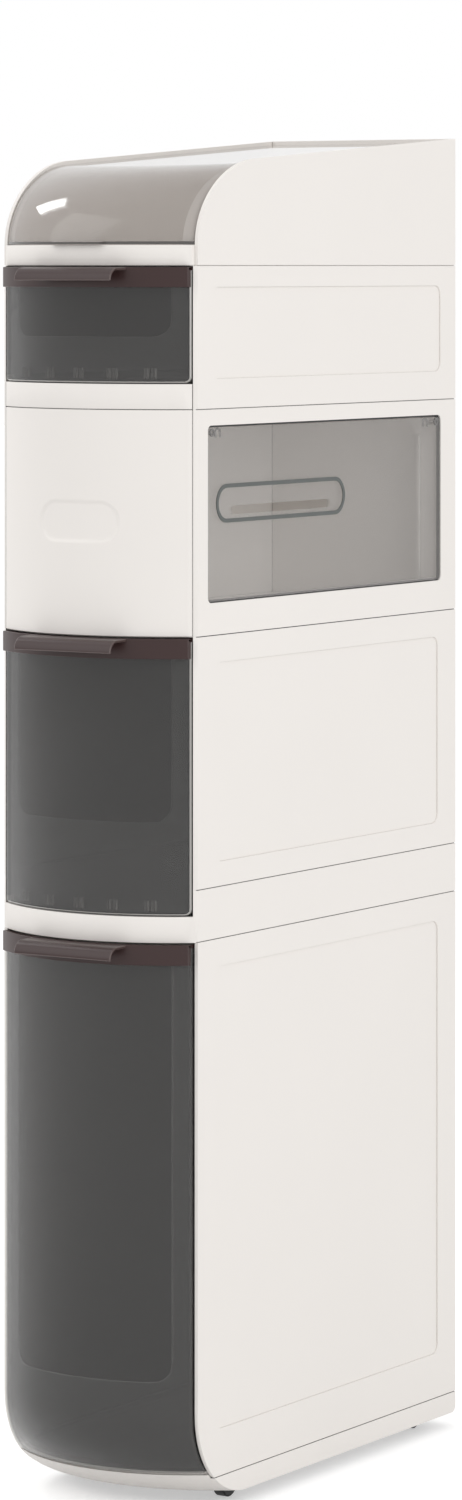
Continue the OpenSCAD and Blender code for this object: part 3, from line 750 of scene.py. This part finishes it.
def grip_lip(size):
    """The lip on a pull bar: a flat shelf that rolls over and down at its front edge."""
    node = size + "_drawer_trim"
    curl = (F.crest - low(node, 1) / MM) / 2
    plate, lip_half, back = 2.0, 40.0, F.return_len - 1.0
    level = high(node, 2) / MM - 0.3
    centre = (-F.bow - curl, level - curl)
    outer = [(-F.bow + back, level), (-F.bow + back * 0.5, level)]
    outer += arc(centre, curl, 90, 180, 14)
    inner = arc(centre, curl - plate, 180, 90, 14)
    inner += [(-F.bow + back * 0.5, level - plate), (-F.bow + back, level - plate)]
    rows = [[(x, F.corner + s, h) for s, h in outer + inner]
            for x in spread(-lip_half, lip_half, 8)]
    lip = piece(size + "_grip_lip", *swept(rows), "brown", size + "_drawer", "brown_plastic")
    # The lip's rounded edges take a painted highlight
    soften(lip, 0.8, segments=3, finish="brown_edge_highlight")
    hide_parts(node)


class TOWER_OT_drawers(Operator):
    """Smoked drawer fronts and tubs, and their brown pull bars with the grip lips"""
    bl_idname = "tower.drawers"
    bl_label = "Drawers"

    def execute(self, context):
        for size in ("large", "medium", "small"):
            drawer_front(size)
            drawer_tub(size)
            pull_bar(size)
            grip_lip(size)
        return {"FINISHED"}


def finger_hollow(x, z):
    """How deep the pill-shaped finger hollow is at a point of the tissue bay's front."""
    middle_z = low("tissue_front", 2) / MM + F.hollow_up
    inside = F.hollow_r - math.hypot(max(abs(x) - F.hollow_straight, 0.0), z - middle_z)
    t = min(max(inside / F.hollow_slope + 0.5, 0.0), 1.0)
    return F.hollow_deep * t * t * (3 - 2 * t)


def tissue_panel():
    """The bay's bowed white front, with its finger hollow and the shadow lines at its edges."""
    lo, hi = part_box("tissue_front")
    z0, z1, half = lo[2] / MM, hi[2] / MM, hi[0] / MM
    step, deep = 0.6, 1.2
    # Close steps over the hollow and wide ones elsewhere
    zs = ([z0 + step] + spread(z0 + 4, z0 + 62, 16) + spread(z0 + 63, z0 + 95, 40)
          + spread(z0 + 97, z1 - 4, 14) + [z1])
    xs = (spread(-half + step, -37, 16) + spread(-36, 36, 72)
          + spread(37, half - step, 16))
    rows = []
    for x, end in [(-half, 1), (xs[0], 1)] + [(x, 0) for x in xs] + [(xs[-1], 1), (half, 1)]:
        face = [(deep, z0, 1), (deep, z0 + step, 1)]
        face += [(deep if end else finger_hollow(x, z), z, 1) for z in zs]
        back = [(F.wall, point[1], 1) for point in reversed(face)]
        rows.append([ring_point(p, x) for p in face + back])
    made = piece("bay_front", *swept(rows), "white", "tower", "white_plastic")
    soften(made, 0.4, 65)
    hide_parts("tissue_front")


def hinge_details():
    """A spring clip and a washer at each end of the door's hinge."""
    pin_drop, clip_in, washer_in = 3.5, 16.7, 5.2  # from the door's top and from its ends
    loop, wire, leg, clip_drop = 3.0, 0.85, 3.2, 0.5
    washer_r, hole_r, sides = 2.9, 1.4, 28
    hinge_z = high("tissue_door", 2) / MM - pin_drop
    ends = (low("tissue_door", 1) / MM - F.corner, high("tissue_door", 1) / MM - F.corner)
    clip_x, washer_x = F.half_w - 3.4, F.half_w - 0.7
    for end, away, name in ((ends[0], 1, "front"), (ends[1], -1, "rear")):
        s, level = end + away * clip_in, hinge_z - clip_drop
        path = [(clip_x, s + loop, level - leg), (clip_x, s + loop, level - leg / 2)]
        path += [(clip_x, a, b) for a, b in arc((s, level), loop, 0, 180, 14)]
        path += [(clip_x, s - loop, level - leg / 2), (clip_x, s - loop, level - leg)]
        piece("hinge_clip_" + name, *tube(path, wire), "hinge", "side_door",
              "clear_smoke_plastic")
        centre = (end + away * washer_in, hinge_z)
        washer = band(arc(centre, washer_r, 0, 360, sides)[:-1],
                      arc(centre, hole_r, 0, 360, sides)[:-1], washer_x - 0.4, washer_x + 0.5)
        piece("hinge_washer_" + name, *washer, "hinge", "side_door",
              "clear_smoke_plastic", edge=0.25)


def window_gap_shadow():
    """Thin dark liner in the gap round the closed door: a painted shadow where the gap is in
    shade.
    """
    lo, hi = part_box("tissue_door")
    gap, top_gap, width, corner_r = 0.8, 1.5, 0.55, 4.0
    x0, x1 = F.half_w - 3.6, F.half_w - 1.3
    s0, s1 = lo[1] / MM - F.corner - gap, hi[1] / MM - F.corner + gap
    z0, z1 = lo[2] / MM - gap, hi[2] / MM + top_gap

    def outline(inset, lowered=0.0):
        """One edge of the liner, its top lowered where asked."""
        r = corner_r - inset
        near, far = s0 + corner_r, s1 - corner_r
        down, up = z0 + corner_r, z1 - corner_r - lowered
        return (arc((far, up), r, 0, 90, 8) + arc((near, up), r, 90, 180, 8)
                + arc((near, down), r, 180, 270, 8) + arc((far, down), r, 270, 360, 8))

    liner = band(outline(0.0), outline(width, top_gap - gap), x0, x1)
    piece("window_gap_shadow", *liner, "black", "tower", "black_plastic", edge=0.1)


def bay_seam_shadow():
    """Dark liner deep in the seam under the tissue bay, on both sides: a painted shadow for the
    shade in the seam.
    """
    seam_z, seam_deep, bite = low("tissue_side_right", 2) / MM + 0.3, 1.2, 0.05
    half_h, bulge = 0.27, 0.6
    run = F.rear - F.corner
    for side, name in ((1, "right"), (-1, "left")):
        rows = []
        # The bead thins out at both ends of the seam
        for s, swell in ((0.6, 0.5), (1.4, 1.0), (run - 1.4, 1.0), (run - 0.6, 0.5)):
            bead = [(bulge * swell * math.cos(math.radians(a)), half_h * math.sin(math.radians(a)))
                    for a in range(90, -91, -36)]
            rows.append([(side * (F.half_w - seam_deep + bite + out), F.corner + s, seam_z + up)
                         for out, up in bead])
        piece("bay_seam_shadow_" + name, *swept(rows), "black", "tower", "black_plastic")


class TOWER_OT_tissue_bay(Operator):
    """Front of the tissue bay, its flip-up side door with ring, pins and clips, and dark liners of
    painted shadow in its gaps
    """
    bl_idname = "tower.tissue_bay"
    bl_label = "Tissue bay"

    def execute(self, context):
        dress(["tissue_door", "door_pin_front", "door_pin_rear"], "door")
        dress(["slot_ring"], "ring")
        tissue_panel()
        hinge_details()
        window_gap_shadow()
        bay_seam_shadow()
        return {"FINISHED"}


def crown_curve(inset, back, count=34):
    """The crown's side curve: a quarter ellipse and then a straight top that rises backwards."""
    points = []
    for i in range(count + 1):
        t = math.pi / 2 * i / count
        points.append((inset + (F.dome_len - inset) * (1 - math.cos(t)),
                       F.crown_z + F.rail_h + (F.dome_h - inset) * math.sin(t),
                       1.0, F.crown_slope * math.sin(t)))
    # The bow fades out along the top, so the sheet stays flat at the back
    points.append((back, F.crown_z + F.rail_h + F.dome_h - inset, 0.0, F.crown_slope))
    return points


def lid_profile(reach):
    """Side shape of the lid: a sheet with a finger tab at its foot and a bead at its hinge."""
    foot = F.crown_z + F.rail_h + 0.5
    tab, slant, bead_r = 1.6, 0.3, 2.4
    outer = crown_curve(F.lid_drop, F.pivot_back + bead_r / 2)[1:]
    inner = crown_curve(F.lid_drop + F.sheet, F.pivot_back - bead_r)[1:]
    bead = [(F.pivot_back + bead_r * math.cos(a), F.pivot_z + bead_r * math.sin(a), 0.0, 0.0)
            for a in (math.radians(200 + 200 * i / 15) for i in range(16))]
    return (bead[8:] + outer[::-1]
            + [(F.lid_drop, foot + tab + slant, 1.0), (F.lid_drop - reach, foot + tab, 1.0),
               (F.lid_drop - reach, foot, 1.0), (F.lid_drop + F.sheet, foot, 1.0)]
            + inner + bead[:8])


class TOWER_OT_lid(Operator):
    """Dome lid and its pins"""
    bl_idname = "tower.lid"
    bl_label = "Dome lid"

    def execute(self, context):
        half = high("dome_lid", 0) / MM
        tab_half, tab_reach, painted_shade_band = 20.5, 6.0, 2.6
        side = spread(tab_half + 0.5, half, 18)
        xs = [-x for x in reversed(side)] + spread(-tab_half, tab_half, 14) + side
        verts, faces = bowed(lid_profile(0.0), xs, lid_profile(tab_reach), tab_half)
        made = piece("lid", verts, faces, "lid", "lid", "clear_smoke_plastic")
        # Painted shade: the foot band, the finger tab and the rounded edges are darker
        dark = add_finish(made, "lid_edge_shade")
        for face in made.data.polygons:
            if face.center.z < (F.crown_z + F.rail_h + painted_shade_band) * MM:
                face.material_index = dark
        soften(made, 0.5, finish="lid_edge_shade")
        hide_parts("dome_lid")
        dress(["lid_pin_left", "lid_pin_right"], "lid")
        return {"FINISHED"}


class TOWER_OT_casters(Operator):
    """Four hidden casters"""
    bl_idname = "tower.casters"
    bl_label = "Casters"

    def execute(self, context):
        for name in NODES:
            if name.startswith("caster_"):
                dress([name], "steel" if "axle" in name else "black")
        return {"FINISHED"}


# ---- Studio ----

def plainly_seen(tree):
    """1 where the camera, a gloss or a clear piece looks, and 0 for the light that falls."""
    path = tree.nodes.new("ShaderNodeLightPath")
    seen = path.outputs["Is Camera Ray"]
    for ray in ("Is Glossy Ray", "Is Transmission Ray"):
        seen = maths(tree, "MAXIMUM", seen, path.outputs[ray])
    return seen


def placed(name, data, place, turn):
    """A new object in the scene at a place, turned by the given angles."""
    holder = bpy.data.objects.new(name, data)
    bpy.context.scene.collection.objects.link(holder)
    holder.location = place
    holder.rotation_euler = turn
    return holder


def area_lamp(name, place, aim, size, power):
    """A rectangular lamp that looks from its place at its aim."""
    lamp = bpy.data.lights.new(name, "AREA")
    lamp.shape = "RECTANGLE"
    lamp.size, lamp.size_y = size
    lamp.energy = power
    look = Vector(aim) - Vector(place)
    placed(name, lamp, place, look.to_track_quat("-Z", "Y").to_euler())


def set_camera(studio):
    """The camera that sees the tower as the photo does."""
    camera = bpy.data.cameras.new("camera")
    camera.lens = studio.lens
    camera.sensor_width = 36
    camera.shift_y = studio.rise
    camera.clip_end = 100
    turn = (math.pi / 2, 0, studio.yaw)
    bpy.context.scene.camera = placed("camera", camera, studio.eye, turn)


def lay_floor(half=20.0, tone=0.75, glow=0.45):
    """A pale floor that takes the tower's shadow; the glow is only what the eye sees of it."""
    mesh = bpy.data.meshes.new("floor")
    mesh.from_pydata([(-half, -half, FLOOR_Z), (half, -half, FLOOR_Z), (half, half, FLOOR_Z),
                      (-half, half, FLOOR_Z)], [], [(0, 1, 2, 3)])
    floor = placed("floor", mesh, (0, 0, 0), (0, 0, 0))
    material = bpy.data.materials.new("floor")
    material.use_nodes = True
    tree = material.node_tree
    body = tree.nodes["Principled BSDF"]
    body.inputs["Base Color"].default_value = rgba((tone, tone, tone))
    body.inputs["Roughness"].default_value = 0.9
    body.inputs["Specular IOR Level"].default_value = 0.1
    body.inputs["Emission Color"].default_value = (1, 1, 1, 1)
    seen = maths(tree, "MULTIPLY", plainly_seen(tree), glow)
    tree.links.new(seen, body.inputs["Emission Strength"])
    mesh.materials.append(material)


def light_surroundings(backdrop, falling=0.75, seen=1.0):
    """Plain surroundings, a little brighter to the eye than in the light that falls."""
    world = bpy.data.worlds.new("studio")
    bpy.context.scene.world = world
    world.use_nodes = True
    tree = world.node_tree
    back = tree.nodes["Background"]
    back.inputs["Color"].default_value = rgba(backdrop)
    level = remapped(tree, plainly_seen(tree), (falling, seen))
    tree.links.new(level, back.inputs["Strength"])


class TOWER_OT_studio(Operator):
    """Floor, lamps, white surroundings and camera"""
    bl_idname = "tower.studio"
    bl_label = "Studio"

    def execute(self, context):
        studio = context.scene.tower_studio
        context.scene.view_settings.view_transform = "Standard"
        set_camera(studio)
        lay_floor()
        light_surroundings(studio.backdrop)
        middle, lid_top = (0, 0.02, 0.5), (-0.03, -0.13, 0.9)
        area_lamp("key", (-2.0, -2.5, 2.4), middle, size=(2.4, 3.0), power=27)
        area_lamp("fill", (3.0, -0.7, 1.5), middle, size=(1.8, 2.2), power=27)
        area_lamp("glint", (-2.35, 0.05, 2.8), lid_top, size=(0.6, 0.8), power=14)
        return {"FINISHED"}


class TOWER_PT_panel(Panel):
    """Steps that build the tower and its studio"""
    bl_idname = "TOWER_PT_panel"
    bl_label = "Storage tower"
    bl_space_type = "VIEW_3D"
    bl_region_type = "UI"
    bl_category = "Tower"

    def draw(self, context):
        for step in STEPS:
            self.layout.operator(step.bl_idname)
        for holder in (context.scene.tower_shape, context.scene.tower_finish,
                       context.scene.tower_studio):
            for key in holder.__annotations__:
                self.layout.prop(holder, key)


STEPS = (TOWER_OT_shell, TOWER_OT_drawers, TOWER_OT_tissue_bay, TOWER_OT_lid,
         TOWER_OT_casters, TOWER_OT_studio)
GROUPS = (("tower_finish", TowerFinish), ("tower_shape", TowerShape),
          ("tower_studio", TowerStudio))


def register():
    """Adds the values, the steps and the panel."""
    for cls in [g for _, g in GROUPS] + list(STEPS) + [TOWER_PT_panel]:
        bpy.utils.register_class(cls)
    for key, group in GROUPS:
        setattr(bpy.types.Scene, key, PointerProperty(type=group))


def unregister():
    """Takes the panel, the steps and the values away again."""
    for key, _ in GROUPS:
        delattr(bpy.types.Scene, key)
    for cls in [TOWER_PT_panel] + list(STEPS) + [g for _, g in GROUPS]:
        bpy.utils.unregister_class(cls)


def main():
    """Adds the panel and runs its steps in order."""
    register()
    for step in STEPS:
        space, name = step.bl_idname.split(".")
        getattr(getattr(bpy.ops, space), name)()


if __name__ == "__main__":
    main()
